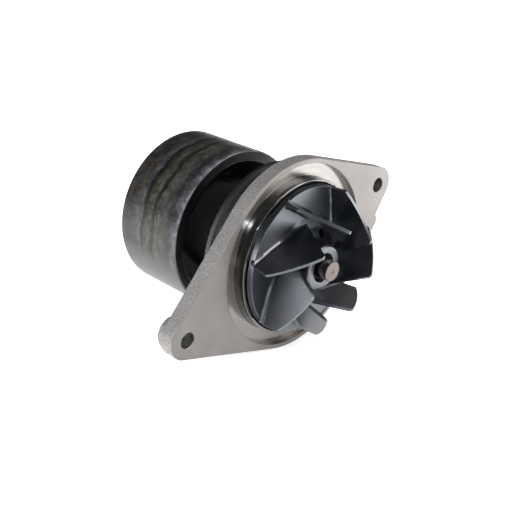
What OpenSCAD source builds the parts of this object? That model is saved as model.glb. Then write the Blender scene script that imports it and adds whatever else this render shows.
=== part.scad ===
// Belt-driven engine coolant pump with a two-bolt flange.
// The shaft runs along Y. The impeller points towards -Y and the pulley is at +Y.
// The origin is on the shaft axis, in the plane of the machined flange face. Millimetres.

/* [Flange] */
// Radius of the round middle of the flange
flange_r = 57.2; // [50:0.1:65]
// Thickness of the flange plate
flange_t = 10; // [6:0.5:14]
// Radius of each bolt hole
bolt_hole_r = 4.5; // [3:0.1:6]
// Distance of the upper bolt hole from the shaft axis
hole_a_dist = 75.8; // [65:0.1:90]
// Direction of the upper bolt hole, from +X towards +Z
hole_a_ang = 16.9; // [0:0.1:45]
// Distance of the lower bolt hole from the shaft axis
hole_b_dist = 85.2; // [65:0.1:95]
// Direction of the lower bolt hole, from +X towards +Z
hole_b_ang = 193; // [180:0.1:225]
// Corner radius of both ears
ear_r = 11.2; // [8:0.1:15]
// Radius of the boss behind each ear
ear_boss_r = 9.8; // [8:0.1:11]
// How far back each ear boss reaches
ear_boss_y = 13.8; // [10:0.1:20]

/* [Pilot and seal groove] */
// Outer radius of the seal groove in the flange face
groove_r = 54.5; // [50:0.1:56]
// Depth of the seal groove
groove_depth = 4; // [2:0.1:6]
// Radius of the pilot spigot
pilot_r = 46.2; // [42:0.1:50]
// How far the pilot stands out of the flange face
pilot_h = 3.5; // [2:0.1:8]
// Radius of the impeller chamber inside the pilot
chamber_r = 44.6; // [40:0.1:48]
// Depth of the cored ring behind the impeller
core_depth = 15; // [5:0.5:20]

/* [Housing back] */
// Radius of the round shoulder behind the flange
shoulder_r = 50; // [45:0.5:56]
// How far back the shoulder reaches
shoulder_y = 24; // [18:0.5:30]
// Where the lip at the shoulder's rear begins
lip_y = 20.5; // [15:0.5:23]
// Width of the shallow neck in front of the lip
neck_w = 3.5; // [2:0.5:6]
// Depth of that neck
neck_depth = 1.4; // [0.4:0.1:3]
// Radius of the bearing barrel next to the shoulder
barrel_r = 25; // [23:0.5:32]
// How far back the bearing barrel reaches
barrel_y = 84; // [70:1:90]
// Radius of the weep hole and of the vent hole
weep_r = 1.8; // [1:0.1:2]

/* [Pulley] */
// Outer radius of the belt face
pulley_r = 49.2; // [40:0.1:60]
// Near end of the pulley
pulley_y0 = 48.8; // [40:0.1:60]
// Far end of the pulley
pulley_y1 = 98.4; // [90:0.1:110]
// Inner radius of the pulley rim
pulley_bore_r = 42.7; // [35:0.1:46]
// Thickness of the pulley web
web_t = 7; // [4:0.5:12]

/* [Shaft and bearing] */
// Radius of the shaft under the bearing and the pulley
journal_r = 9.5; // [8:0.1:12]
// Radius of the shaft under the seal
seal_shaft_r = 8; // [6:0.1:9]
// Radius of the shaft end that carries the impeller
tip_r = 5.8; // [5:0.1:7]
// Position of the shaft's front end
tip_y = -26.7; // [-35:0.1:-20]
// Radius of the small centre mark in each end of the shaft
centre_r = 1.1; // [0.5:0.1:2]
// Outer radius of the bearing
race_r = 19; // [16:0.1:24]
// Radius of each bearing ball
ball_r = 3.5; // [2.5:0.1:4]
// Number of bearing balls
ball_n = 9; // [6:1:12]
// Radius of each bearing roller
roller_r = 2.5; // [1.5:0.1:3]
// Length of each bearing roller
roller_l = 14; // [8:0.5:20]
// Number of bearing rollers
roller_n = 12; // [8:1:16]

/* [Impeller] */
// Number of vanes
vane_n = 7; // [5:1:9]
// Radius of the impeller disc at its back
disc_r = 44.1; // [35:0.1:44.2]
// How much smaller the disc is at its front
disc_draft = 0.8; // [0:0.1:1.5]
// Front face of the disc
disc_front = -7.2; // [-10:0.1:-5]
// Back face of the disc
disc_back = -3.8; // [-5:0.1:-2]
// Outer radius of the hub
hub_r = 13.4; // [11:0.1:16]
// Front face of the hub
hub_front = -20.5; // [-24:0.1:-15]
// Radius of the pocket around the shaft end
pocket_r = 8.1; // [7:0.1:10]
// Direction of the first vane's outer end, from +X towards +Z
vane_ang = 166.6; // [0:0.1:360]
// Vane thickness at its free edge
vane_t = 1.7; // [1:0.1:3]

/* [Hidden] */
$fn = 96;
eps = 0.01;
hole_a = hole_a_dist * [cos(hole_a_ang), sin(hole_a_ang)];
hole_b = hole_b_dist * [cos(hole_b_ang), sin(hole_b_ang)];
// A small lobe fills the hollow below the upper ear
lobe = [67.1, -0.9];
lobe_r = 6.2;

// Seal cavity and drain chamber, from the coolant side backwards
seal_bore_r = 18;
seal_y0 = 4.5;
seal_y1 = 15.6;
drain_r = 14.8;
bearing_y0 = 28;
bearing_y1 = 82;
core_r = 24;
weep_y = 26;

// Bearing: a ball row near the impeller and a roller row near the pulley
ball_y = 42;
ball_pitch = 12.3;
groove_gap = 0.05;
roller_y = 67;
track_gap = 0.02;
roller_pitch = journal_r + roller_r + track_gap;
race_bore = roller_pitch + roller_r + track_gap;
cage_r0 = 10.3;
cage_r1 = 13.7;
lip_gap = 0.05;
lip_seat_r = 16.2;
lip_t = 2.4;
lip_inset = 0.5;

// Face seal, fixed side in the housing and turning side on the impeller
seat_face = -0.5;
face_gap = 0.05;
bush_r = 10;
bush_back = -5.6;
pocket_floor = -16;
balance_r = 2.4;
balance_dist = 17;
balance_turn = 46.7;
boot_r = 15;
seat_r0 = 9.6;
seat_r1 = 13.6;
seat_back = -4.4;
carbon_r = 12.5;
carbon_back = 3.6;
head_y = 1.2;
head_r = 13.2;
head_back = 4.8;
case_r = 17.2;
foot_y = 14.8;
sheet = 0.6;

// Vane control points in the vane's own frame: [outwards, along the shaft, sideways]
root_a = [43.1, -5.4, -1.6];
root_b = [25.5, -5.4, -13];
root_c = [4.7, -5.4, -21.9];
edge_a = [44.3, -17.3, 0];
edge_b = [34.9, -29.1, -6];
edge_c = [21.3, -36, -14];
root_t = 2.6;
vane_steps = 12;
vane_rows = 5;

/* ---- Helpers ---- */

// Solid of revolution about Y from points [radius, y]
module turned(points) {
    rotate([-90, 0, 0]) rotate_extrude() polygon(points);
}

// Flat shape in the XZ plane, thickened from y0 to y1
module slab(y0, y1) {
    translate([0, y1, 0]) rotate([90, 0, 0]) linear_extrude(y1 - y0) children();
}

// Straight round bar or bore along Y
module rod(r, y0, y1) {
    translate([0, y0, 0]) rotate([-90, 0, 0]) cylinder(r = r, h = y1 - y0);
}

// Ring along Y with a rectangular section
module ring(r0, r1, y0, y1) {
    turned([[r0, y0], [r1, y0], [r1, y1], [r0, y1]]);
}

// Copies the children n times about Y
module around(n, start = 0) {
    for (i = [0 : n - 1]) rotate([0, -start - i * 360 / n, 0]) children();
}

function polar(r, a) = r * [cos(a), sin(a)];

// Web that joins a round corner of radius r at c to the round middle, tangent on both sides.
// Its corners sit a hair inside both circles, so every edge crosses them cleanly.
module tangent_web(c, r) {
    inset = 0.03;
    dir = atan2(c[1], c[0]);
    open = acos((flange_r - r) / norm(c));
    polygon([
        polar(flange_r - inset, dir + open),
        c + polar(r - inset, dir + open),
        c + polar(r - inset, dir - open),
        polar(flange_r - inset, dir - open)
    ]);
}

/* ---- Housing ---- */

module flange_outline() {
    circle(flange_r, $fn = 180);
    translate(hole_a) circle(ear_r);
    translate(hole_b) circle(ear_r);
    translate(lobe) circle(lobe_r);
    tangent_web(hole_a, ear_r);
    tangent_web(hole_b, ear_r);
    tangent_web(lobe, lobe_r);
}

module ear_boss(c) {
    translate([c[0], 0, c[1]]) rod(ear_boss_r, flange_t / 2, ear_boss_y);
}

// Everything turned: pilot, shoulder and bearing barrel, with all their bores
module housing_core() {
    edge = 0.6;
    foot = 6;
    lead_in = 0.8;
    turned([
        [chamber_r, -pilot_h],
        [pilot_r - edge, -pilot_h],
        [pilot_r, -pilot_h + edge],
        [pilot_r, groove_depth],
        [shoulder_r, groove_depth],
        [shoulder_r, lip_y - neck_w],
        [shoulder_r - neck_depth, lip_y - neck_w + neck_depth],
        [shoulder_r - neck_depth, lip_y - neck_depth / 2],
        [shoulder_r, lip_y + neck_depth / 2],
        [shoulder_r, shoulder_y - edge],
        [shoulder_r - edge, shoulder_y],
        [barrel_r + foot, shoulder_y],
        [barrel_r, shoulder_y + foot],
        [barrel_r - 1, barrel_y - 1],
        [barrel_r - 2, barrel_y],
        [race_r + lead_in, barrel_y],
        [race_r, barrel_y - lead_in],
        [race_r, bearing_y0],
        [drain_r, bearing_y0],
        [drain_r, seal_y1],
        [seal_bore_r, seal_y1],
        [seal_bore_r, seal_y0],
        [core_r, seal_y0],
        [core_r + 2, core_depth],
        [chamber_r - 1, core_depth],
        [chamber_r, core_depth - 1]
    ]);
}

module housing() {
    color([0.66, 0.64, 0.62])
    difference() {
        union() {
            difference() {
                slab(0, flange_t) flange_outline();
                rod(groove_r, -1, groove_depth);
                rod(shoulder_r - 1, -1, flange_t + 1);
            }
            housing_core();
            ear_boss(hole_a);
            ear_boss(hole_b);
        }
        for (c = [hole_a, hole_b])
            translate([c[0], 0, c[1]]) rod(bolt_hole_r, -1, ear_boss_y + 1);
        // Weep hole down and vent hole up, both into the drain chamber
        for (a = [0, 180])
            rotate([0, a, 0]) translate([0, weep_y, drain_r - 1]) cylinder(r = weep_r, h = 40);
    }
}

/* ---- Bearing ---- */

module bearing_race() {
    color([0.72, 0.73, 0.75])
    difference() {
        rod(race_r, bearing_y0, bearing_y1);
        rod(race_bore, bearing_y0 - 1, bearing_y1 + 1);
        rod(lip_seat_r, bearing_y0 - 1, bearing_y0 + lip_inset + lip_t);
        rod(lip_seat_r, bearing_y1 - lip_t - lip_inset, bearing_y1 + 1);
        translate([0, ball_y, 0]) ball_groove();
    }
}

// Ring-shaped cutter for a ball track
module ball_groove() {
    rotate([-90, 0, 0]) rotate_extrude() translate([ball_pitch, 0]) circle(ball_r + groove_gap);
}

module bearing_balls() {
    color([0.82, 0.83, 0.85])
    around(ball_n) translate([ball_pitch, ball_y, 0]) sphere(ball_r);
}

module ball_cage() {
    half = 5;
    pocket = ball_r + 0.15;
    color([0.2, 0.3, 0.25])
    difference() {
        ring(cage_r0, cage_r1, ball_y - half, ball_y + half);
        around(ball_n) translate([cage_r0 - 2, ball_y, 0]) rotate([0, 90, 0])
            cylinder(r = pocket, h = 8);
    }
}

module bearing_rollers() {
    color([0.82, 0.83, 0.85])
    around(roller_n) translate([roller_pitch, 0, 0])
        rod(roller_r, roller_y - roller_l / 2, roller_y + roller_l / 2);
}

module roller_cage() {
    half = 9.5;
    window = roller_l / 2 + 0.2;
    color([0.2, 0.3, 0.25])
    difference() {
        ring(cage_r0, cage_r1, roller_y - half, roller_y + half);
        around(roller_n) translate([roller_pitch, 0, 0])
            rod(roller_r + 0.12, roller_y - window, roller_y + window);
    }
}

// Rubber lip seal that sits in the end of the bearing, its lip just clear of the shaft
module lip_seal(y0) {
    taper = 0.9;
    turned([
        [journal_r + lip_gap, y0 + taper],
        [journal_r + 1.2, y0],
        [lip_seat_r, y0],
        [lip_seat_r, y0 + lip_t],
        [journal_r + 1.2, y0 + lip_t],
        [journal_r + lip_gap, y0 + lip_t - taper]
    ]);
}

module bearing_seal_front() {
    color([0.12, 0.12, 0.13]) lip_seal(bearing_y0 + lip_inset);
}

module bearing_seal_rear() {
    color([0.12, 0.12, 0.13]) lip_seal(bearing_y1 - lip_t - lip_inset);
}

/* ---- Rotor ---- */

module shaft() {
    edge = 0.5;
    step_y = bearing_y0 - 1;
    end_y = pulley_y1 - 0.6;
    color([0.7, 0.68, 0.66])
    difference() {
        turned([
            [0, tip_y + centre_r],
            [centre_r, tip_y],
            [tip_r - edge, tip_y],
            [tip_r, tip_y + edge],
            [tip_r, bush_back],
            [seal_shaft_r, bush_back],
            [seal_shaft_r, step_y],
            [journal_r, step_y + journal_r - seal_shaft_r],
            [journal_r, end_y - 2 * edge],
            [journal_r - 2 * edge, end_y],
            [centre_r, end_y],
            [0, end_y - centre_r]
        ]);
        translate([0, ball_y, 0]) ball_groove();
    }
}

// Thin dished ring that throws leaked coolant away from the bearing
module slinger() {
    y = weep_y - 3;
    sleeve = 1.6;
    outer_r = 12.6;
    color([0.75, 0.72, 0.5])
    turned([
        [seal_shaft_r, y - sleeve],
        [seal_shaft_r + 1, y - sleeve],
        [seal_shaft_r + 1, y],
        [outer_r, y + sleeve],
        [outer_r, y + sleeve + 0.8],
        [seal_shaft_r, y + 1]
    ]);
}

module pulley() {
    edge = 1;
    corner = 3;
    recess = 2.4;
    boss_wall = 9;
    barrel_gap = 1.5;
    boss_r = journal_r + boss_wall;
    back = pulley_y1 - recess;
    front = back - web_t;
    boss_y = barrel_y + barrel_gap;
    color([0.42, 0.42, 0.44])
    turned([
        [pulley_bore_r + edge, pulley_y0],
        [pulley_r - edge, pulley_y0],
        [pulley_r, pulley_y0 + edge],
        [pulley_r, pulley_y1 - edge],
        [pulley_r - edge, pulley_y1],
        [pulley_bore_r, pulley_y1],
        [pulley_bore_r - 2, back],
        [boss_r, back],
        [boss_r, pulley_y1],
        [journal_r, pulley_y1],
        [journal_r, boss_y],
        [boss_r, boss_y],
        [boss_r + 2, front],
        [pulley_bore_r - corner, front],
        [pulley_bore_r, front - corner],
        [pulley_bore_r, pulley_y0 + edge]
    ]);
}

/* ---- Impeller ---- */

function bezier(a, b, c, s) = (1 - s) * (1 - s) * a + 2 * s * (1 - s) * b + s * s * c;
function vane_mid(s, t) =
    (1 - t) * bezier(root_a, root_b, root_c, s) + t * bezier(edge_a, edge_b, edge_c, s);
function unit(v) = v / norm(v);
function vane_normal(s, t) = unit(cross(
    vane_mid(s + eps, t) - vane_mid(s - eps, t),
    vane_mid(s, t + eps) - vane_mid(s, t - eps)));
function vane_point(s, t, side) =
    vane_mid(s, t) + side * (root_t + (vane_t - root_t) * t) / 2 * vane_normal(s, t);

// One twisted vane, swept from its outer end to its inner edge
module vane() {
    m = vane_rows + 1;
    loop = 2 * m;
    points = [
        for (j = [0 : vane_steps]) for (k = [0 : loop - 1])
            k < m
                ? vane_point(j / vane_steps, k / vane_rows, 1)
                : vane_point(j / vane_steps, (loop - 1 - k) / vane_rows, -1)
    ];
    sides = [
        for (j = [0 : vane_steps - 1]) for (k = [0 : loop - 1])
            let (a = j * loop + k, b = j * loop + (k + 1) % loop)
            each [[a, b, a + loop], [b, b + loop, a + loop]]
    ];
    last = vane_steps * loop;
    ends = [
        for (k = [0 : vane_rows - 1])
            let (p = loop - 1 - k)
            each [
                [k, p, k + 1], [p, p - 1, k + 1],
                [last + k, last + k + 1, last + p], [last + p, last + k + 1, last + p - 1]
            ]
    ];
    polyhedron(points, concat(sides, ends), convexity = 4);
}

// Moulded impeller: disc, hub with its pocket, vanes and balance holes
module impeller() {
    edge = 0.5;
    // Hub foot: how far the disc face has risen at three points on the way in to the hub
    rise = [1.4, 4.6, 7];
    color([0.13, 0.13, 0.14])
    difference() {
        union() {
            turned([
                [bush_r, disc_back],
                [disc_r - edge, disc_back],
                [disc_r, disc_back - edge],
                [disc_r - disc_draft, disc_front],
                [2 * hub_r, disc_front],
                [1.5 * hub_r, disc_front - rise[0]],
                [hub_r + 1, disc_front - rise[1]],
                [hub_r, disc_front - rise[2]],
                [hub_r, hub_front + edge],
                [hub_r - edge, hub_front],
                [pocket_r + edge, hub_front],
                [pocket_r, hub_front + edge],
                [pocket_r, pocket_floor],
                [bush_r, pocket_floor]
            ]);
            around(vane_n, vane_ang) vane();
        }
        // Recess for the turning seal ring
        rod(boot_r, bush_back, disc_back + 1);
        around(vane_n, vane_ang + balance_turn)
            translate([balance_dist, 0, 0]) rod(balance_r, tip_y, 0);
    }
}

// Metal bush moulded into the hub, pressed on the shaft end
module impeller_bush() {
    color([0.62, 0.6, 0.57])
    difference() {
        rod(bush_r, pocket_floor, bush_back);
        rod(tip_r, pocket_floor - 1, bush_back + 1);
    }
}

/* ---- Face seal ---- */

// Rubber cup that holds the hard ring and turns with the shaft
module seal_boot() {
    rim_y = -1.4;
    color([0.1, 0.1, 0.11])
    turned([
        [seal_shaft_r, bush_back],
        [boot_r, bush_back],
        [boot_r, rim_y],
        [seat_r1, rim_y],
        [seat_r1, seat_back],
        [seat_r0, seat_back],
        [seat_r0, rim_y],
        [seal_shaft_r, rim_y]
    ]);
}

module seal_seat() {
    color([0.86, 0.85, 0.8]) ring(seat_r0, seat_r1, seat_back, seat_face);
}

module seal_carbon() {
    bore = 9.3;
    nose_r = 11.6;
    collar_y = 0.9;
    color([0.16, 0.16, 0.17])
    turned([
        [bore, seat_face + face_gap],
        [nose_r, seat_face + face_gap],
        [nose_r, collar_y],
        [carbon_r, collar_y],
        [carbon_r, carbon_back],
        [bore, carbon_back]
    ]);
}

module seal_bellows() {
    in_r = 9.8;
    out_r = in_r + 1.4;
    fold = 1.2;
    fold_y = 9.4;
    color([0.1, 0.1, 0.11])
    turned([
        [in_r, carbon_back],
        [carbon_r, carbon_back],
        [carbon_r, head_y],
        [head_r, head_y],
        [head_r, head_back],
        [out_r, head_back + 0.4],
        [out_r, fold_y - fold],
        [out_r + fold, fold_y],
        [out_r, fold_y + fold],
        [out_r, foot_y - fold],
        [case_r, foot_y - fold],
        [case_r, foot_y],
        [in_r, foot_y],
        [in_r, fold_y + 1.5 * fold],
        [in_r + fold, fold_y],
        [in_r, fold_y - 1.5 * fold]
    ]);
}

// Thin steel shell around the bellows head, with a rim for the spring
module seal_retainer() {
    rim_r = 16.4;
    color([0.75, 0.76, 0.78])
    turned([
        [head_r, head_y],
        [head_r + sheet, head_y],
        [head_r + sheet, head_back],
        [rim_r, head_back],
        [rim_r, head_back + sheet],
        [head_r, head_back + sheet]
    ]);
}

// Thin steel cup pressed into the housing
module seal_case() {
    rim_r = 21;
    hole_r = 10;
    rim_y = 3.8;
    color([0.75, 0.76, 0.78])
    turned([
        [case_r, rim_y],
        [rim_r, rim_y],
        [rim_r, seal_y0],
        [seal_bore_r, seal_y0],
        [seal_bore_r, seal_y1],
        [hole_r, seal_y1],
        [hole_r, foot_y],
        [case_r, foot_y]
    ]);
}

// Round wire coil between the shell's rim and the bellows foot
module seal_spring() {
    wire = 0.6;
    mean_r = 15.4;
    y0 = head_back + sheet + wire + 0.05;
    rise = 6.9;
    turns = 4;
    sides = 8;
    rings = turns * 18;
    points = [
        for (i = [0 : rings]) for (k = [0 : sides - 1])
            let (a = 360 * turns * i / rings, b = 360 * k / sides, r = mean_r + wire * cos(b))
            [r * cos(a), y0 + rise * i / rings + wire * sin(b), r * sin(a)]
    ];
    skin = [
        for (i = [0 : rings - 1]) for (k = [0 : sides - 1])
            let (a = i * sides + k, b = i * sides + (k + 1) % sides)
            each [[a, a + sides, b], [b, a + sides, b + sides]]
    ];
    caps = [
        [for (k = [0 : sides - 1]) k],
        [for (k = [0 : sides - 1]) rings * sides + sides - 1 - k]
    ];
    color([0.8, 0.8, 0.82])
    polyhedron(points, concat(skin, caps), convexity = 8);
}

/* ---- Nodes ---- */

housing();
bearing_race();
bearing_balls();
ball_cage();
bearing_rollers();
roller_cage();
bearing_seal_front();
bearing_seal_rear();
shaft();
slinger();
pulley();
impeller();
impeller_bush();
seal_boot();
seal_seat();
seal_carbon();
seal_bellows();
seal_retainer();
seal_case();
seal_spring();
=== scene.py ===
from math import cos, hypot, pi, radians, sin, sqrt

import bmesh
import bpy
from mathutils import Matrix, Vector


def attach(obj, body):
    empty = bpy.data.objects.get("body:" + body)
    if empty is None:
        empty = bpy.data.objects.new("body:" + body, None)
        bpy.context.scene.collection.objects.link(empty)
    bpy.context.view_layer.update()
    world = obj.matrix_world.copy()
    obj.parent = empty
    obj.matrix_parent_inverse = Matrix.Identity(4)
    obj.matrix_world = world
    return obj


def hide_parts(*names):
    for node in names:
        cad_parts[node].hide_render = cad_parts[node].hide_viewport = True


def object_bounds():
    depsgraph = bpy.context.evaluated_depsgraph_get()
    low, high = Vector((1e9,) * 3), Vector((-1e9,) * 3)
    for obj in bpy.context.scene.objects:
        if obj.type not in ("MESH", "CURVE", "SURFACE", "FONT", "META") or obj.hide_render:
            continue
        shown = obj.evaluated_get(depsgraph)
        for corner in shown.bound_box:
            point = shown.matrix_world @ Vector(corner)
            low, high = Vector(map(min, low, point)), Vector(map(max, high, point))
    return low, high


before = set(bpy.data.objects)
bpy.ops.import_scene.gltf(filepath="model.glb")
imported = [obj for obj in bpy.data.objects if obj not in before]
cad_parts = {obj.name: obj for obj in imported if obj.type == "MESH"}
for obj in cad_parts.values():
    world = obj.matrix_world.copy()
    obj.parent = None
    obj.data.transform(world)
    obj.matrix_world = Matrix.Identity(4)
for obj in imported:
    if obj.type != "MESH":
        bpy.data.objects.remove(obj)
cad_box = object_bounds()
MM = 0.001


# ---------------------------------------------------------------- camera
def aim(name, data, azimuth, elevation, distance, target=Vector()):
    """Puts a camera or lamp at a distance in metres from its target, facing it.

    The azimuth in degrees is 0 in front of the impeller and 90 at +X.
    """
    obj = bpy.data.objects.new(name, data)
    bpy.context.scene.collection.objects.link(obj)
    a, e = radians(azimuth), radians(elevation)
    direction = Vector((sin(a) * cos(e), -cos(a) * cos(e), sin(e)))
    obj.location = target + direction * distance
    obj.rotation_euler = direction.to_track_quat("Z", "Y").to_euler()
    return obj


camera_data = bpy.data.cameras.new("camera")
camera_data.sensor_width = 36
camera_data.lens = 61.87
camera_data.shift_x = -0.001
bpy.context.scene.camera = aim(
    "camera", camera_data, azimuth=-45.1, elevation=27.35, distance=0.5,
    target=Vector((-15.5, 17.7, -0.1)) * MM)


# ---------------------------------------------------------------- sizes in millimetres
def polar(radius, angle):
    return Vector((radius * cos(radians(angle)), radius * sin(radians(angle))))


# Flange, its face at y = 0, with places on it as (x, z)
FLANGE_R, FLANGE_T = 57.2, 10.0
GROOVE_R, GROOVE_DEPTH = 54.5, 4.0
PILOT_R, PILOT_H = 46.2, 3.5
HOLE_A, HOLE_B, BOLT_R = polar(75.8, 16.9), polar(85.2, 193), 4.5
EAR_R, BOSS_R, BOSS_Y, BOSS_SINK = 11.2, 9.8, 13.8, 2.0
LOBE, LOBE_R = Vector((67.1, -0.9)), 6.2
EDGE_FRONT, EDGE_BACK = 0.9, 2.4

# Impeller chamber with the cored ring around the seal's nose
CHAMBER_R, CORE_DEPTH = 44.6, 15.0
NOSE_R, NOSE_ROOT_R, NOSE_Y = 24.0, 26.0, 4.5
SEAL_R, SEAL_Y, THROAT_R = 18.0, 15.6, 14.8

# Shoulder with a neck below its lip, bearing barrel, and the drain holes across it
SHOULDER_R, SHOULDER_Y, LIP_Y, NECK_Y, NECK = 50.0, 24.0, 20.5, 17.0, 1.4
BARREL_R, BARREL_Y, RACE_R, RACE_Y = 25.0, 84.0, 19.0, 28.0
DRAIN_R, DRAIN_Y, DRAIN_START, DRAIN_END = 1.8, 26.0, 13.5, 40.0

# Pulley: belt rim, web and boss
PULLEY_R, PULLEY_Y0, PULLEY_Y1, PULLEY_BORE = 49.2, 48.8, 98.4, 42.7
WEB_INSET, WEB_T, PULLEY_BOSS_R, BARREL_GAP = 2.4, 7.0, 18.5, 1.5

# Shaft
JOURNAL_R, SHAFT_R, TIP_R = 9.5, 8.0, 5.8
TIP_Y, STEP_Y, JOURNAL_Y, SHAFT_END = -26.7, -5.6, 28.5, PULLEY_Y1 - 0.6
CENTRE_R = 1.5

# Impeller: disc, hub with a pocket for the bush, and balance holes
DISC_R, DISC_DRAFT, DISC_FRONT, DISC_BACK = 44.1, 0.8, -7.2, -3.8
HUB_R, HUB_FRONT, POCKET_R = 13.4, -20.5, 8.1
BUSH_R, BUSH_FRONT, COLLAR_R, COLLAR_H = 10.0, -16.0, 15.0, 1.8
BALANCE_R, BALANCE_OUT, BALANCE_TURN = 2.4, 17.0, 21.0

# Vanes: the curves of the root and of the free edge, each with three control points
VANE_N, VANE_ANGLE = 7, 166.6
ROOT = [Vector(p) for p in ((43.1, -5.4, -1.6), (25.5, -5.4, -13), (4.7, -5.4, -21.9))]
EDGE = [Vector(p) for p in ((44.3, -17.3, 0), (34.9, -29.1, -6), (21.3, -36, -14))]
ROOT_T, EDGE_T, ROOT_FILLET, EDGE_BEVEL = 2.6, 1.7, 1.6, 0.28
OUTER_CORNER_R, INNER_CORNER_R = 0.7, 2.1


# ---------------------------------------------------------------- node helpers
def fill(node, **values):
    """Sets a node's unlinked sockets by name, with _ for each space in it."""
    for key, value in values.items():
        node.inputs[key.replace("_", " ")].default_value = value


def feed(socket, value):
    """Gives a socket a number, a colour or another node's output."""
    if isinstance(value, (int, float)):
        socket.default_value = value
    elif isinstance(value, tuple):
        socket.default_value = (*value, 1)
    else:
        socket.id_data.links.new(value, socket)


def shade(color, factor):
    return tuple(part * factor for part in color)


class Nodes:
    """Short calls to build a material's node tree. Noise scales are in waves per metre."""

    # Colour sockets of a Mix node, and the range that holds most of a noise's values
    COLOR_A, COLOR_B, COLOR_OUT = 6, 7, 2
    NOISE_RANGE = {"From_Min": 0.25, "From_Max": 0.75}

    def __init__(self, name):
        self.material = bpy.data.materials.new(name)
        self.material.use_nodes = True
        self.tree = self.material.node_tree
        self.shader = self.tree.nodes["Principled BSDF"]
        self.place = self.add("ShaderNodeTexCoord").outputs["Object"]

    def add(self, kind, **settings):
        node = self.tree.nodes.new(kind)
        for key, value in settings.items():
            setattr(node, key, value)
        return node

    def drive(self, **sources):
        """Links outputs to the shader's sockets, named with _ for each space."""
        for key, source in sources.items():
            feed(self.shader.inputs[key.replace("_", " ")], source)

    def math(self, kind, a, b=0.0):
        node = self.add("ShaderNodeMath", operation=kind)
        feed(node.inputs[0], a)
        feed(node.inputs[1], b)
        return node.outputs[0]

    def mapped(self, vector, scale=(1, 1, 1), location=(0, 0, 0)):
        node = self.add("ShaderNodeMapping")
        feed(node.inputs["Vector"], vector)
        fill(node, Scale=scale, Location=location)
        return node.outputs[0]

    def noise(self, vector, scale, detail, rough=0.55, distortion=0.0):
        node = self.add("ShaderNodeTexNoise")
        feed(node.inputs["Vector"], vector)
        fill(node, Scale=scale, Detail=detail, Roughness=rough, Distortion=distortion)
        return node.outputs["Fac"]

    def ramp(self, fac, stops):
        """Each stop is (position, colour), where a single number stands for a grey."""
        node = self.add("ShaderNodeValToRGB")
        feed(node.inputs["Fac"], fac)
        elements = node.color_ramp.elements
        while len(elements) < len(stops):
            elements.new(0.5)
        for element, (position, color) in zip(elements, stops):
            element.position = position
            if isinstance(color, (int, float)):
                color = (color, color, color)
            element.color = (*color, 1)
        return node.outputs["Color"]

    def mix(self, kind, fac, a, b):
        node = self.add("ShaderNodeMix", data_type="RGBA", blend_type=kind)
        feed(node.inputs["Factor"], fac)
        feed(node.inputs[self.COLOR_A], a)
        feed(node.inputs[self.COLOR_B], b)
        return node.outputs[self.COLOR_OUT]

    def spread(self, fac, low, high):
        """Stretches the usual range of a noise to low and high."""
        node = self.add("ShaderNodeMapRange")
        feed(node.inputs["Value"], fac)
        fill(node, **self.NOISE_RANGE, To_Min=low, To_Max=high)
        return node.outputs[0]

    def bump(self, *layers):
        """Each layer is (height, strength, depth in millimetres)."""
        below = None
        for height, strength, depth in layers:
            node = self.add("ShaderNodeBump")
            fill(node, Strength=strength, Distance=depth * MM)
            feed(node.inputs["Height"], height)
            if below is not None:
                feed(node.inputs["Normal"], below)
            below = node.outputs["Normal"]
        self.drive(Normal=below)

    def xyz(self):
        split = self.add("ShaderNodeSeparateXYZ")
        feed(split.inputs[0], self.place)
        return split.outputs

    def around_shaft(self):
        """The point as (radius, along the shaft, angle), for turned surfaces."""
        x, y, z = self.xyz()
        squares = self.math("ADD", self.math("MULTIPLY", x, x), self.math("MULTIPLY", z, z))
        join = self.add("ShaderNodeCombineXYZ")
        parts = (self.math("SQRT", squares), y, self.math("ARCTAN2", z, x))
        for socket, part in zip(join.inputs, parts):
            feed(socket, part)
        return join.outputs[0]


# ---------------------------------------------------------------- materials
def cast_iron(name, dark, light, metallic, painted_shade_heights=None):
    """Sand-cast skin: grain of about half a millimetre with darker pores.

    painted_shade_heights holds the two heights in millimetres between which it turns dark towards
    the top: painted shade.
    """
    n = Nodes(name)
    grain = n.noise(n.place, scale=1500, detail=5, rough=0.65)
    coarse = n.noise(n.place, scale=420, detail=3, rough=0.5)
    patches = n.noise(n.place, scale=60, detail=2, rough=0.5)
    middle = tuple((d + l) / 2 for d, l in zip(dark, light))
    color = n.ramp(grain, [(0.32, dark), (0.5, middle), (0.7, light)])
    color = n.mix("MULTIPLY", 0.5, color, n.ramp(patches, [(0.3, 0.72), (0.7, 1.0)]))
    # Painted shade: darker towards the top between the two heights.
    if painted_shade_heights:
        start, end = painted_shade_heights
        rise = n.math("SUBTRACT", n.xyz()["Z"], start * MM)
        rise = n.math("MULTIPLY", rise, 1 / ((end - start) * MM))
        color = n.mix("MULTIPLY", 1.0, color, n.ramp(rise, [(0.0, 1.0), (1.0, 0.2)]))
    n.drive(Base_Color=color, Roughness=n.spread(coarse, 0.5, 0.72))
    fill(n.shader, Metallic=metallic)
    n.bump((coarse, 0.5, 0.35), (grain, 0.7, 0.18))
    return n.material


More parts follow.
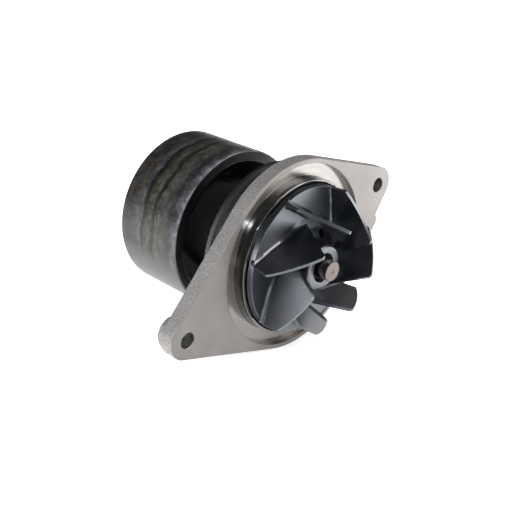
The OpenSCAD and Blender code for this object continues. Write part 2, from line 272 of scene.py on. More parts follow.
def milled_iron(name):
    """Finely milled flat face: satin, warm light grey, faint arcs left by the cutter."""
    n = Nodes(name)
    arcs = n.add(
        "ShaderNodeTexWave", wave_type="RINGS", rings_direction="Y", wave_profile="SIN")
    feed(arcs.inputs["Vector"], n.mapped(n.place, location=(0.31, 0, 0.12)))
    fill(arcs, Scale=420, Distortion=1.2, Detail=2)
    cloud = n.noise(n.place, scale=45, detail=3, rough=0.5)
    fine = n.noise(n.place, scale=2600, detail=3, rough=0.6)
    color = n.ramp(cloud, [(0.3, (0.175, 0.165, 0.158)), (0.7, (0.215, 0.203, 0.194))])
    color = n.mix("MULTIPLY", 0.35, color, n.ramp(fine, [(0.3, 0.8), (0.7, 1.0)]))
    n.drive(Base_Color=color, Roughness=n.spread(fine, 0.38, 0.52))
    fill(n.shader, Metallic=0.7)
    n.bump((arcs.outputs["Fac"], 0.05, 0.02), (fine, 0.12, 0.02))
    return n.material


def turned_metal(name, dark, light, rough, metallic=1.0, groove=0.05, smear=0.0):
    """Lathe-turned metal: fine rings around the shaft.

    groove is their depth in millimetres. smear draws highlights out across them.
    """
    n = Nodes(name)
    if smear:
        fill(n.shader, Anisotropic=smear, Anisotropic_Rotation=0.25)
        tangent = n.add("ShaderNodeTangent", direction_type="RADIAL", axis="Y")
        n.drive(Tangent=tangent.outputs[0])
    around = n.around_shaft()
    rings = n.noise(n.mapped(around, (1, 1, 0.004)), scale=2600, detail=2, rough=0.6)
    wide = n.noise(n.mapped(around, (1, 1, 0.006)), scale=500, detail=2, rough=0.5)
    n.drive(Base_Color=n.ramp(wide, [(0.3, dark), (0.7, light)]))
    n.drive(Roughness=n.spread(rings, *rough))
    fill(n.shader, Metallic=metallic)
    n.bump((rings, 0.25, groove))
    return n.material


# Rings on the belt face, from the edge near the flange (0) to the far edge (1). The two light
# bluish stops by the near edge are a painted highlight, which the clean steel covers on the lower
# part.
BELT_RINGS_AND_EDGE_HIGHLIGHT = [
    (0.02, (0.22, 0.228, 0.25)), (0.06, (0.14, 0.146, 0.16)), (0.13, (0.05, 0.052, 0.056)),
    (0.27, (0.09, 0.087, 0.077)), (0.385, (0.105, 0.10, 0.09)),
    (0.415, (0.012, 0.012, 0.015)), (0.445, (0.012, 0.012, 0.015)),
    (0.49, (0.13, 0.124, 0.108)), (0.57, (0.07, 0.061, 0.042)),
    (0.595, (0.012, 0.012, 0.016)), (0.625, (0.012, 0.012, 0.016)),
    (0.66, (0.13, 0.134, 0.146)), (0.75, (0.08, 0.071, 0.065)),
    (0.86, (0.045, 0.042, 0.039)), (1.0, (0.075, 0.07, 0.062))]
RUST = (0.085, 0.058, 0.032)
CLEAN_DARK, CLEAN_LIGHT = (0.047, 0.047, 0.046), (0.072, 0.071, 0.069)
RING_WOBBLE, BORDER_WOBBLE = 0.16, 0.3


def oxidised_steel(name):
    """Belt face: dark oxide with wavy rings, rusty mottling and a painted highlight along the
    near edge above, cleaner steel below.
    """
    n = Nodes(name)
    around = n.around_shaft()
    point = n.xyz()
    wobble = n.noise(n.place, scale=60, detail=3, rough=0.5)
    width = (PULLEY_Y1 - PULLEY_Y0) * MM
    across = n.math("DIVIDE", n.math("SUBTRACT", point["Y"], PULLEY_Y0 * MM), width)
    sway = n.math("MULTIPLY", n.math("SUBTRACT", wobble, 0.5), RING_WOBBLE)
    across = n.math("ADD", across, sway)
    mottle = n.noise(n.place, scale=420, detail=5, rough=0.65)
    rust = n.noise(n.place, scale=230, detail=4, rough=0.6)
    patches = n.noise(
        n.mapped(n.place, (1, 1.6, 1)), scale=150, detail=3, rough=0.6, distortion=0.4)
    turned = n.noise(n.mapped(around, (1, 1, 0.002)), scale=1600, detail=2, rough=0.6)
    rusty = n.ramp(rust, [(0.52, 0.0), (0.7, 0.6)])
    color = n.mix("MIX", rusty, n.ramp(across, BELT_RINGS_AND_EDGE_HIGHLIGHT), RUST)
    color = n.mix("MULTIPLY", 0.85, color, n.ramp(mottle, [(0.36, 0.4), (0.62, 1.0)]))
    color = n.mix("MULTIPLY", 0.8, color, n.ramp(patches, [(0.38, 0.25), (0.6, 1.0)]))
    down = n.math("MULTIPLY", point["Z"], -1 / (PULLEY_R * MM))
    down = n.math("ADD", down, n.math("MULTIPLY", wobble, BORDER_WOBBLE))
    clean = n.ramp(turned, [(0.3, CLEAN_DARK), (0.7, CLEAN_LIGHT)])
    color = n.mix("MIX", n.ramp(down, [(0.2, 0.0), (0.38, 1.0)]), color, clean)
    n.drive(Base_Color=color, Roughness=n.spread(mottle, 0.28, 0.46))
    fill(n.shader, Specular_IOR_Level=0.45)
    n.bump((across, 0.4, 0.1), (turned, 0.12, 0.02), (mottle, 0.14, 0.05))
    return n.material


def moulded_plastic(name, color, rough, specular=0.5):
    """Moulded plastic: even colour, faint flow marks and a fine mould texture."""
    n = Nodes(name)
    fine = n.noise(n.place, scale=3200, detail=2, rough=0.5)
    marks = n.noise(n.place, scale=90, detail=3, rough=0.6, distortion=0.6)
    n.drive(Base_Color=n.ramp(marks, [(0.3, shade(color, 0.75)), (0.7, color)]))
    n.drive(Roughness=n.spread(marks, *rough))
    fill(n.shader, Specular_IOR_Level=specular)
    n.bump((marks, 0.08, 0.12), (fine, 0.05, 0.02))
    return n.material


def glossy_plastic(name, color):
    """Black moulded plastic with a polished skin, slow waves and a faint orange peel."""
    n = Nodes(name)
    peel = n.noise(n.place, scale=700, detail=2, rough=0.5)
    waves = n.noise(n.place, scale=120, detail=2, rough=0.45)
    cloud = n.noise(n.place, scale=90, detail=3, rough=0.5)
    n.drive(Base_Color=n.ramp(cloud, [(0.3, shade(color, 0.8)), (0.7, color)]))
    n.drive(Roughness=n.spread(cloud, 0.28, 0.35))
    fill(n.shader, Specular_IOR_Level=1.0, IOR=1.68, Specular_Tint=(0.86, 0.91, 1.0, 1))
    n.bump((waves, 0.2, 0.35), (peel, 0.008, 0.01))
    return n.material


def ground_steel(name, color, rough=(0.2, 0.34), scale=1800):
    """Ground or drawn steel with short scratches."""
    n = Nodes(name)
    scratch = n.noise(n.mapped(n.place, (1, 0.08, 1)), scale=scale, detail=3, rough=0.6)
    cloud = n.noise(n.place, scale=140, detail=3, rough=0.55)
    n.drive(Base_Color=n.ramp(cloud, [(0.3, shade(color, 0.78)), (0.7, color)]))
    n.drive(Roughness=n.spread(scratch, *rough))
    fill(n.shader, Metallic=1.0)
    n.bump((scratch, 0.12, 0.02))
    return n.material


def moulded_rubber(name, color):
    """Matt black rubber with a light bloom."""
    n = Nodes(name)
    fine = n.noise(n.place, scale=2400, detail=3, rough=0.6)
    bloom = n.noise(n.place, scale=200, detail=3, rough=0.6)
    n.drive(Base_Color=n.ramp(bloom, [(0.35, color), (0.7, shade(color, 1.6))]))
    n.drive(Roughness=n.spread(fine, 0.6, 0.8))
    fill(n.shader, Specular_IOR_Level=0.3)
    n.bump((fine, 0.2, 0.03))
    return n.material


CAST = cast_iron("cast_skin", (0.14, 0.133, 0.129), (0.55, 0.528, 0.515), metallic=0.2)
# The lip's copy of the cast skin is darker all over and darker still towards the top: painted
# shade.
CAST_LIP_PAINTED_SHADE = cast_iron(
    "cast_skin_lip_painted_shade", (0.02, 0.019, 0.018), (0.13, 0.125, 0.12), metallic=0.1, painted_shade_heights=(24, 40))
# Near-black copy of the cast skin: painted shade on the neck below the lip and on the barrel
# inside the pulley.
CAST_PAINTED_SHADE = cast_iron(
    "cast_skin_painted_shade", (0.01, 0.01, 0.011), (0.022, 0.022, 0.024), metallic=0.0)
MILLED = milled_iron("milled_face")
TURNED = turned_metal(
    "turned_pilot", (0.13, 0.131, 0.131), (0.17, 0.17, 0.169), rough=(0.1, 0.14),
    metallic=0.97, groove=0.002, smear=0.5)
GROOVE = turned_metal(
    "turned_groove", (0.21, 0.2, 0.189), (0.27, 0.258, 0.243), rough=(0.2, 0.24),
    metallic=0.7, groove=0.002)
BORE = turned_metal(
    "turned_bore", (0.22, 0.217, 0.21), (0.33, 0.325, 0.315), rough=(0.4, 0.52))
BELT_FACE = oxidised_steel("belt_face")
PULLEY_DARK = moulded_plastic(
    "pulley_black_oxide", (0.06, 0.061, 0.066), rough=(0.5, 0.65), specular=0.1)
RIM_END = turned_metal(
    "pulley_rim_end", (0.045, 0.047, 0.052), (0.085, 0.088, 0.095), rough=(0.3, 0.42))
PLASTIC = glossy_plastic("plastic_impeller", (0.005, 0.0054, 0.0068))
SHAFT_STEEL = ground_steel("steel_shaft_end", (0.17, 0.14, 0.13), rough=(0.36, 0.5))
SHAFT_SIDE = ground_steel("steel_shaft_side", (0.3, 0.29, 0.28), rough=(0.2, 0.3), scale=900)
BEARING_STEEL = ground_steel("steel_bearing", (0.62, 0.63, 0.65), rough=(0.12, 0.2))
SHEET_STEEL = ground_steel("steel_sheet", (0.55, 0.56, 0.57))
BRASS = ground_steel("brass_slinger", (0.55, 0.43, 0.20))
BUSH_STEEL = ground_steel("steel_bush", (0.05, 0.048, 0.045), rough=(0.3, 0.45))
CAGE = moulded_plastic("plastic_cage", (0.03, 0.05, 0.035), rough=(0.4, 0.55))
CARBON = moulded_plastic("carbon_ring", (0.02, 0.02, 0.022), rough=(0.35, 0.5))
CERAMIC = moulded_plastic("ceramic_ring", (0.72, 0.70, 0.64), rough=(0.15, 0.25))
RUBBER = moulded_rubber("rubber_seal", (0.012, 0.012, 0.013))


# ---------------------------------------------------------------- mesh helpers
WELD_DISTANCE = 1e-7


def fillet(points, steps=4):
    """Rounds the corners of a closed flat outline. A point is (a, b) or (a, b, radius)."""
    out = []
    count = len(points)
    for i, point in enumerate(points):
        here = Vector(point[:2])
        radius = point[2] if len(point) > 2 else 0
        if radius == 0:
            out.append(here)
            continue
        before = (Vector(points[i - 1][:2]) - here).normalized()
        after = (Vector(points[(i + 1) % count][:2]) - here).normalized()
        half = before.angle(after) / 2
        tangent = radius / (sin(half) / cos(half))
        centre = here + (before + after).normalized() * (radius / sin(half))
        start = here + before * tangent - centre
        end = here + after * tangent - centre
        sweep = start.angle_signed(end)
        for k in range(steps + 1):
            turn = -sweep * k / steps
            out.append(centre + Vector((
                start.x * cos(turn) - start.y * sin(turn),
                start.x * sin(turn) + start.y * cos(turn))))
    return out


def ring_faces(count, segments):
    """Faces of a closed grid with one row of count points for each segment."""
    faces = []
    for j in range(segments):
        k = (j + 1) % segments
        for i in range(count):
            m = (i + 1) % count
            faces.append((j * count + i, j * count + m, k * count + m, k * count + i))
    return faces


def new_object(name, vertices, faces):
    """Mesh object from points in millimetres."""
    data = bpy.data.meshes.new(name)
    data.from_pydata([Vector(v) * MM for v in vertices], [], faces)
    obj = bpy.data.objects.new(name, data)
    bpy.context.scene.collection.objects.link(obj)
    return obj


def weld(obj):
    """Joins doubled points and turns all faces outwards."""
    b = bmesh.new()
    b.from_mesh(obj.data)
    bmesh.ops.remove_doubles(b, verts=b.verts, dist=WELD_DISTANCE)
    bmesh.ops.recalc_face_normals(b, faces=b.faces)
    b.to_mesh(obj.data)
    b.free()


def finish_mesh(obj, sharp_angle=32):
    """Smooth shading with sharp edges kept and flat faces kept flat."""
    weld(obj)
    obj.data.shade_smooth()
    obj.data.set_sharp_from_angle(angle=radians(sharp_angle))
    modifier = obj.modifiers.new("even_shading", "WEIGHTED_NORMAL")
    modifier.keep_sharp = True
    modifier.weight = 100


def turned_solid(name, points, segments, steps=4):
    """Solid of revolution about Y. Its outline holds (radius, y) or (radius, y, corner)."""
    outline = fillet(points, steps)
    vertices = []
    for j in range(segments):
        turn = 2 * pi * j / segments
        vertices += [(radius * cos(turn), y, radius * sin(turn)) for radius, y in outline]
    return new_object(name, vertices, ring_faces(len(outline), segments))


def cut(obj, *cutters):
    """Takes the cutters away from the object and removes them."""
    for cutter in cutters:
        modifier = obj.modifiers.new("cut", "BOOLEAN")
        modifier.operation = "DIFFERENCE"
        modifier.solver = "EXACT"
        modifier.object = cutter
    bpy.context.view_layer.update()
    evaluated = obj.evaluated_get(bpy.context.evaluated_depsgraph_get())
    result = bpy.data.meshes.new_from_object(evaluated)
    obj.modifiers.clear()
    obj.data = result
    for cutter in cutters:
        bpy.data.objects.remove(cutter)


def drill(centre, radius, y0, y1, chamfer=0.0, segments=96):
    """Cutter along Y through (x, z) = centre, with a countersink at y0 if it has a chamfer."""
    rows = [(radius, y0), (radius, y1)]
    if chamfer:
        clear = 1.0
        rows = [(radius + chamfer + clear, y0 - clear), (radius, y0 + chamfer), (radius, y1)]
    vertices, faces = [], []
    for row_radius, y in rows:
        for j in range(segments):
            turn = 2 * pi * j / segments
            vertices.append(
                (centre[0] + row_radius * cos(turn), y, centre[1] + row_radius * sin(turn)))
    for i in range(len(rows) - 1):
        for j in range(segments):
            k = (j + 1) % segments
            here, there = i * segments, (i + 1) * segments
            faces.append((here + j, here + k, there + k, there + j))
    faces.append(tuple(range(segments)))
    faces.append(tuple(reversed(range((len(rows) - 1) * segments, len(rows) * segments))))
    cutter = new_object("cutter", vertices, faces)
    weld(cutter)
    return cutter


def paint(obj, materials, choose):
    """Gives each face the material that choose(centre in mm, normal) picks from the list."""
    obj.data.materials.clear()
    for material in materials:
        obj.data.materials.append(material)
    for face in obj.data.polygons:
        face.material_index = materials.index(choose(face.center / MM, face.normal))


def place(obj, body, node):
    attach(obj, body)
    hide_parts(node)


# ---------------------------------------------------------------- housing
RIM_SEGMENTS = 900
BOLT_CHAMFER = 0.35
SHOULDER_EDGE, SHOULDER_TOP = SHOULDER_R + 1.6, SHOULDER_Y + 1.5


def reach(corner, radius, direction, steps=240):
    """Edge of the plate in one direction.

    The plate is the tangent web between the flange's circle and one round corner.
    """
    along = corner.dot(direction)
    across = corner.x * direction.y - corner.y * direction.x
    best = FLANGE_R
    for i in range(steps + 1):
        k = i / steps
        room = (FLANGE_R + (radius - FLANGE_R) * k) ** 2 - (across * k) ** 2
        if room > 0:
            best = max(best, along * k + sqrt(room))
    return best


def housing_sections():
    """Outlines as (radius, y), (inset from the rim, y) and (radius, y): front, edge, back."""
    front = fillet([
        (CHAMBER_R, CORE_DEPTH - 1), (CHAMBER_R, -PILOT_H, 0.2), (PILOT_R, -PILOT_H, 0.35),
        (PILOT_R, GROOVE_DEPTH, 0.3), (GROOVE_R, GROOVE_DEPTH, 0.3), (GROOVE_R, 0, 0.25),
        (GROOVE_R + 1.2, 0)])[1:]
    edge = fillet([
        (EDGE_FRONT, 0), (0, 0, 0.35), (0, FLANGE_T, 1.8), (EDGE_BACK, FLANGE_T)], steps=5)
    back = fillet([
        (SHOULDER_R + 1.5, FLANGE_T), (SHOULDER_R, FLANGE_T, 1.4),
        (SHOULDER_R, NECK_Y, 1), (SHOULDER_R - NECK, NECK_Y + NECK, 0.5),
        (SHOULDER_R - NECK, LIP_Y - NECK / 2, 0.4), (SHOULDER_R, LIP_Y + NECK / 2, 0.8),
        (SHOULDER_R, SHOULDER_Y, 0.9), (BARREL_R + 6, SHOULDER_Y, 2.5),
        (BARREL_R, SHOULDER_Y + 6, 2), (BARREL_R - 1, BARREL_Y - 1, 0.5),
        (BARREL_R - 2, BARREL_Y, 0.3), (RACE_R + 0.8, BARREL_Y), (RACE_R, BARREL_Y - 0.8),
        (RACE_R, RACE_Y), (THROAT_R, RACE_Y), (THROAT_R, SEAL_Y), (SEAL_R, SEAL_Y),
        (SEAL_R, NOSE_Y, 0.3), (NOSE_R, NOSE_Y, 0.8), (NOSE_ROOT_R, CORE_DEPTH, 2),
        (CHAMBER_R, CORE_DEPTH, 1.5)])[1:]
    return front, edge, back


def housing_look(c, normal):
    """Look of a face of the casting. The small margins take in the rounded edges."""
    radius = hypot(c.x, c.z)
    to_hole = min((Vector((c.x, c.z)) - hole).length for hole in (HOLE_A, HOLE_B))
    if to_hole < BOLT_R + 0.6 and c.y > 0.01:
        return BORE
    if radius < GROOVE_R + 0.02 and c.y < GROOVE_DEPTH + 0.01:
        return GROOVE if radius > PILOT_R + 0.3 else TURNED
    if c.y < 0.3 and normal.y < -0.5:
        return MILLED
    if radius < RACE_R + 1 and c.y > 4:
        return BORE
    # Lip: painted shade, a darker copy of the cast skin.
    if radius < SHOULDER_EDGE and LIP_Y <= c.y <= SHOULDER_TOP:
        return CAST_LIP_PAINTED_SHADE
    # Neck below the lip and barrel beyond the shoulder: painted shade.
    neck_in_painted_shade = radius < SHOULDER_EDGE and FLANGE_T < c.y < LIP_Y
    return CAST_PAINTED_SHADE if c.y > SHOULDER_TOP or neck_in_painted_shade else CAST


def build_ear_boss(name, centre):
    boss = turned_solid(name, [
        (BOLT_R, FLANGE_T - BOSS_SINK), (BOSS_R, FLANGE_T - BOSS_SINK),
        (BOSS_R, BOSS_Y, 1.6), (BOLT_R, BOSS_Y, 0.4)], segments=128)
    for v in boss.data.vertices:
        v.co += Vector((centre.x, 0, centre.y)) * MM
    finish_mesh(boss)

    def look(c, normal):
        in_bore = (Vector((c.x, c.z)) - centre).length < BOLT_R + 0.5
        return BORE if in_bore else CAST

    paint(boss, [CAST, BORE], look)
    place(boss, "housing_body", "housing")


def build_housing():
    corners = ((HOLE_A, EAR_R), (HOLE_B, EAR_R), (LOBE, LOBE_R))
    rays = [polar(1, 360 * j / RIM_SEGMENTS) for j in range(RIM_SEGMENTS)]
    rim = [ray * max(reach(c, r, ray) for c, r in corners) for ray in rays]
    front, edge, back = housing_sections()
    vertices = []
    for j, ray in enumerate(rays):
        along = rim[(j + 2) % RIM_SEGMENTS] - rim[j - 2]
        outward = Vector((along.y, -along.x)).normalized()
        row = [(ray * radius, y) for radius, y in front]
        row += [(rim[j] - outward * inset, y) for inset, y in edge]
        row += [(ray * radius, y) for radius, y in back]
        vertices += [(flat.x, y, flat.y) for flat, y in row]
    count = len(front) + len(edge) + len(back)
    body = new_object("housing_body_casting", vertices, ring_faces(count, RIM_SEGMENTS))
    weld(body)
    holes = [drill(c, BOLT_R, 0, BOSS_Y + 2, BOLT_CHAMFER) for c in (HOLE_A, HOLE_B)]
    for side in (1, -1):
        drain = drill((0, 0), DRAIN_R, DRAIN_START, DRAIN_END, segments=48)
        for v in drain.data.vertices:
            x, y, z = v.co
            v.co = (x, DRAIN_Y * MM + z, y * side)
        holes.append(drain)
    cut(body, *holes)
    finish_mesh(body)
    paint(body, [CAST, MILLED, TURNED, BORE, CAST_PAINTED_SHADE, CAST_LIP_PAINTED_SHADE, GROOVE], housing_look)
    place(body, "housing_body", "housing")
    build_ear_boss("housing_ear_boss_a", HOLE_A)
    build_ear_boss("housing_ear_boss_b", HOLE_B)


# ---------------------------------------------------------------- pulley and shaft
def build_pulley():
    web_back = PULLEY_Y1 - WEB_INSET
    web_front = web_back - WEB_T
    boss_front = BARREL_Y + BARREL_GAP
    pulley = turned_solid("pulley_rim_and_web", [
        (PULLEY_BORE, PULLEY_Y0, 0.9), (PULLEY_R, PULLEY_Y0, 1.2), (PULLEY_R, PULLEY_Y1, 0.9),
        (PULLEY_BORE, PULLEY_Y1, 0.5), (PULLEY_BORE - 2, web_back, 1.0),
        (PULLEY_BOSS_R, web_back, 1.0), (PULLEY_BOSS_R, PULLEY_Y1, 0.7),
        (JOURNAL_R, PULLEY_Y1, 0.4), (JOURNAL_R, boss_front, 0.3),
        (PULLEY_BOSS_R, boss_front, 0.8), (PULLEY_BOSS_R + 2, web_front, 1.5),
        (PULLEY_BORE, web_front, 3)], segments=320)
    finish_mesh(pulley)

    def look(c, normal):
        if hypot(c.x, c.z) > PULLEY_R - 0.95 and c.y > PULLEY_Y0 - 1:
            return BELT_FACE
        if c.y < PULLEY_Y0 + 0.9 or c.y > PULLEY_Y1 - 3:
            return RIM_END
        return PULLEY_DARK

    paint(pulley, [BELT_FACE, RIM_END, PULLEY_DARK], look)
    place(pulley, "rotor", "pulley")


def build_shaft():
    shaft = turned_solid("shaft_bar", [
        (0.001, TIP_Y + 0.9), (0.9, TIP_Y + 0.5, 0.2), (CENTRE_R, TIP_Y, 0.15),
        (TIP_R, TIP_Y, 0.45), (TIP_R, STEP_Y, 0.1), (SHAFT_R, STEP_Y, 0.3),
        (SHAFT_R, JOURNAL_Y - 1.5), (JOURNAL_R, JOURNAL_Y), (JOURNAL_R, SHAFT_END, 0.8),
        (1.6, SHAFT_END, 0.2), (0.001, SHAFT_END - 1.4)], segments=160)
    finish_mesh(shaft)

    def look(c, normal):
        at_end = c.y < TIP_Y + 0.6 or c.y > PULLEY_Y1 - 1.5
        return SHAFT_STEEL if at_end else SHAFT_SIDE

    paint(shaft, [SHAFT_SIDE, SHAFT_STEEL], look)
    place(shaft, "rotor", "shaft")


# ---------------------------------------------------------------- impeller
# Where a vane's grid has its columns and rows: closer near its ends, foot and free edge
VANE_ENDS, VANE_COLUMNS = [i * 0.012 for i in range(5)], 30
VANE_FOOT, VANE_TOP = [0, 0.04, 0.08, 0.11, 0.14, 0.17, 0.21], [0.89, 0.92, 0.94, 0.96, 0.98, 1.0]
VANE_SPAN, VANE_ROWS = 0.65, 9
SHARP_EDGE = radians(50)


def bezier(p, s):
    return p[0] * (1 - s) ** 2 + p[1] * (2 * s * (1 - s)) + p[2] * s ** 2


def vane_mid(s, t):
    """Middle surface: s runs inwards from the disc's rim, t from the root to the edge."""
    return bezier(ROOT, s) * (1 - t) + bezier(EDGE, s) * t


def vane_normal(s, t):
    step = 0.01
    return (vane_mid(s + step, t) - vane_mid(s - step, t)).cross(
        vane_mid(s, t + step) - vane_mid(s, t - step)).normalized()


def rounded_corner(s, t):
    """Moves a grid point near either free corner so that the corner comes out round."""
    height = (vane_mid(s, 1) - vane_mid(s, 0)).length
    near = 0.05
    for end, radius in ((0, OUTER_CORNER_R), (1, INNER_CORNER_R)):
        length = (vane_mid(abs(end - near), 1) - vane_mid(end, 1)).length / near
        a = 1 - abs(s - end) * length / radius
        b = 1 - (1 - t) * height / radius
        if a > 0 and b > 0:
            a, b = a * sqrt(1 - b * b / 2), b * sqrt(1 - a * a / 2)
            s = end + (1 if end == 0 else -1) * (1 - a) * radius / length
            t = 1 - (1 - b) * radius / height
    return s, t


def vane_point(s, t, side):
    """Point on one side of a vane, which widens into a fillet where it leaves the disc."""
    s, t = rounded_corner(s, t)
    middle = vane_mid(s, t)
    above = max(DISC_FRONT - middle.y, 0)
    flare = 0
    if above < ROOT_FILLET:
        flare = ROOT_FILLET - sqrt(max(ROOT_FILLET ** 2 - (ROOT_FILLET - above) ** 2, 0))
    half = (ROOT_T + (EDGE_T - ROOT_T) * t) / 2 + flare
    return middle + vane_normal(s, t) * side * half


def build_vane(index):
    """One twisted vane with rounded free edges."""
    ends, foot = VANE_ENDS[-1], VANE_FOOT[-1]
    inner = [ends + (1 - 2 * ends) * i / VANE_COLUMNS for i in range(1, VANE_COLUMNS)]
    along = VANE_ENDS + inner + [1 - s for s in reversed(VANE_ENDS)]
    middle = [foot + VANE_SPAN * i / VANE_ROWS for i in range(1, VANE_ROWS + 1)]
    up = VANE_FOOT + middle + VANE_TOP
    points = [vane_point(s, t, side) for side in (1, -1) for s in along for t in up]
    rows, columns = len(up), len(along)
    far = rows * columns
    faces = []
    for c in range(columns - 1):
        for r in range(rows - 1):
            a, b = c * rows + r, (c + 1) * rows + r
            faces.append((a, b, b + 1, a + 1))
            faces.append((far + a + 1, far + b + 1, far + b, far + a))
    border = [c * rows for c in range(columns)]
    border += [(columns - 1) * rows + r for r in range(1, rows)]
    border += [c * rows + rows - 1 for c in reversed(range(columns - 1))]
    border += list(reversed(range(1, rows - 1)))
    for a, b in zip(border, border[1:] + border[:1]):
        faces.append((b, a, far + a, far + b))
    turn = radians(VANE_ANGLE + index * 360 / VANE_N)
    placed = [
        (v.x * cos(turn) - v.z * sin(turn), v.y, v.x * sin(turn) + v.z * cos(turn))
        for v in points]
    vane = new_object(f"impeller_vane_{index + 1}", placed, faces)
    b = bmesh.new()
    b.from_mesh(vane.data)
    bmesh.ops.recalc_face_normals(b, faces=b.faces)
    joined = [edge for edge in b.edges if len(edge.link_faces) == 2]
    sharp = [edge for edge in joined if edge.calc_face_angle() > SHARP_EDGE]
    bmesh.ops.bevel(
        b, geom=sharp, offset=EDGE_BEVEL * MM, segments=3, profile=0.5, affect="EDGES",
        clamp_overlap=True)
    b.to_mesh(vane.data)
    b.free()
    finish_mesh(vane, sharp_angle=40)
    vane.data.materials.append(PLASTIC)
    place(vane, "rotor", "impeller")


def build_impeller():
    disc = turned_solid("impeller_disc_and_hub", [
        (BUSH_R, DISC_BACK - COLLAR_H), (COLLAR_R, DISC_BACK - COLLAR_H),
        (COLLAR_R, DISC_BACK), (DISC_R, DISC_BACK, 0.4),
        (DISC_R - DISC_DRAFT, DISC_FRONT, 0.3), (27, DISC_FRONT, 8),
        (20, DISC_FRONT - 1.4, 4), (HUB_R + 1, DISC_FRONT - 4.6, 2.5),
        (HUB_R, DISC_FRONT - 7, 2), (HUB_R, HUB_FRONT, 1.8), (POCKET_R, HUB_FRONT, 1.2),
        (POCKET_R, BUSH_FRONT, 0.2), (BUSH_R, BUSH_FRONT)], segments=320, steps=6)
    weld(disc)
    first = VANE_ANGLE + 180 / VANE_N + BALANCE_TURN
    centres = [polar(BALANCE_OUT, first + i * 360 / VANE_N) for i in range(VANE_N)]
    cut(disc, *[drill(c, BALANCE_R, -30, 0, segments=64) for c in centres])
    finish_mesh(disc)
    disc.data.materials.clear()
    disc.data.materials.append(PLASTIC)
    place(disc, "rotor", "impeller")
    for index in range(VANE_N):
        build_vane(index)


build_housing()
build_pulley()
build_shaft()
build_impeller()

# ---------------------------------------------------------------- pieces in their CAD shape
LOOKS = {
    "bearing_race": BEARING_STEEL, "bearing_balls": BEARING_STEEL,
    "bearing_rollers": BEARING_STEEL, "ball_cage": CAGE, "roller_cage": CAGE,
    "bearing_seal_front": RUBBER, "bearing_seal_rear": RUBBER, "slinger": BRASS,
    "impeller_bush": BUSH_STEEL, "seal_boot": RUBBER, "seal_seat": CERAMIC,
    "seal_carbon": CARBON, "seal_bellows": RUBBER, "seal_retainer": SHEET_STEEL,
    "seal_case": SHEET_STEEL, "seal_spring": SHEET_STEEL,
}
for node, look in LOOKS.items():
    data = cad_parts[node].data
    data.materials.clear()
    data.materials.append(look)

# ---------------------------------------------------------------- floor
FLOOR_Z = cad_box[0][2]
FLOOR_HALF = 3000
FLOOR_GLOW, LEAST_GLOW = 1.45, 0.04
# Pools of light and shade as (centre, radius, strength), in millimetres
POOLS = [
    ((330, -250), 430, 4.4),
    ((0, 15), 110, -1.4),
    ((-330, -300), 330, -0.8),
    ((-200, -140), 260, -2.1),
]


def glow(paper, centre, radius, strength):
    """Soft round pool: full strength in the middle, nothing beyond the radius."""
    scale = 1 / (radius * MM)
    local = paper.mapped(
        paper.place, (scale, scale, 1), (-centre[0] / radius, -centre[1] / radius, 0))
    pool = paper.add("ShaderNodeTexGradient", gradient_type="QUADRATIC_SPHERE")
    feed(pool.inputs["Vector"], local)
    return paper.math("MULTIPLY", pool.outputs["Fac"], strength)


def build_floor():
    """Pale paper that glows: painted light, brighter in front at the right, with painted shade
    under the pump.
    """
    corners = ((-1, -1), (1, -1), (1, 1), (-1, 1))
    vertices = [(x * FLOOR_HALF, y * FLOOR_HALF, 0) for x, y in corners]
    floor = new_object("floor", vertices, [(0, 1, 2, 3)])
    floor.location.z = FLOOR_Z
    paper = Nodes("floor_paper")
    cloud = paper.noise(paper.place, scale=3, detail=2)
    shine = FLOOR_GLOW
    for pool in POOLS:
        shine = paper.math("ADD", glow(paper, *pool), shine)
    paper.drive(
        Base_Color=paper.ramp(cloud, [(0.3, 0.82), (0.7, 0.86)]),
        Emission_Strength=paper.math("MAXIMUM", shine, LEAST_GLOW))
    fill(paper.shader, Roughness=0.9, Specular_IOR_Level=0.1, Emission_Color=(1, 1, 1, 1))
    floor.data.materials.append(paper.material)


build_floor()

# ---------------------------------------------------------------- backdrop
DOME_R = 2.7


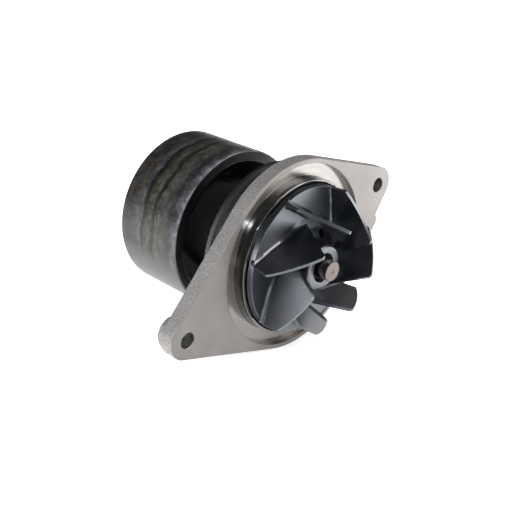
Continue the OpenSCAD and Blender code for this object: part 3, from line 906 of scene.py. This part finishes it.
def build_backdrop():
    """Pale dome around the studio, seen but neither lighting nor reflected."""
    b = bmesh.new()
    bmesh.ops.create_uvsphere(b, u_segments=96, v_segments=48, radius=DOME_R)
    mesh = bpy.data.meshes.new("backdrop")
    b.to_mesh(mesh)
    b.free()
    dome = bpy.data.objects.new("backdrop", mesh)
    bpy.context.scene.collection.objects.link(dome)
    dome.location.z = FLOOR_Z
    dome.visible_diffuse = False
    dome.visible_glossy = False
    dome.visible_transmission = False
    dome.visible_volume_scatter = False
    dome.visible_shadow = False
    cloth = Nodes("backdrop_cloth")
    cloud = cloth.noise(cloth.place, scale=2, detail=2)
    cloth.drive(Emission_Color=cloth.ramp(cloud, [(0.3, 0.96), (0.7, 1.0)]))
    fill(
        cloth.shader, Roughness=1.0, Specular_IOR_Level=0.0, Base_Color=(0, 0, 0, 1),
        Emission_Strength=1.0)
    mesh.materials.append(cloth.material)


build_backdrop()


# ---------------------------------------------------------------- lights and sky
def area_light(name, azimuth, elevation, distance, size, radiance, color=(1, 1, 1)):
    """Soft box that faces the pump, with its size in metres."""
    data = bpy.data.lights.new(name, "AREA")
    data.shape = "RECTANGLE"
    data.size, data.size_y = size
    data.energy = radiance * size[0] * size[1] * pi
    data.color = color
    aim(name, data, azimuth, elevation, distance).visible_camera = False


area_light(
    "front_box", azimuth=32, elevation=34, distance=1.2, size=(0.75, 0.6), radiance=7.3,
    color=(1.0, 0.95, 0.91))
area_light("right_box", azimuth=80, elevation=8, distance=1.2, size=(0.6, 0.6), radiance=1.8)
area_light("left_box", azimuth=-108, elevation=9, distance=1.2, size=(0.5, 0.5), radiance=8.3)
area_light(
    "camera_lamp", azimuth=-41, elevation=36, distance=1.1, size=(0.07, 0.07), radiance=260,
    color=(0.88, 0.95, 1.0))

world = bpy.data.worlds.new("soft_sky")
world.use_nodes = True
fill(world.node_tree.nodes["Background"], Color=(0.95, 0.97, 1.0, 1), Strength=0.09)
bpy.context.scene.world = world
bpy.context.scene.view_settings.view_transform = "Standard"
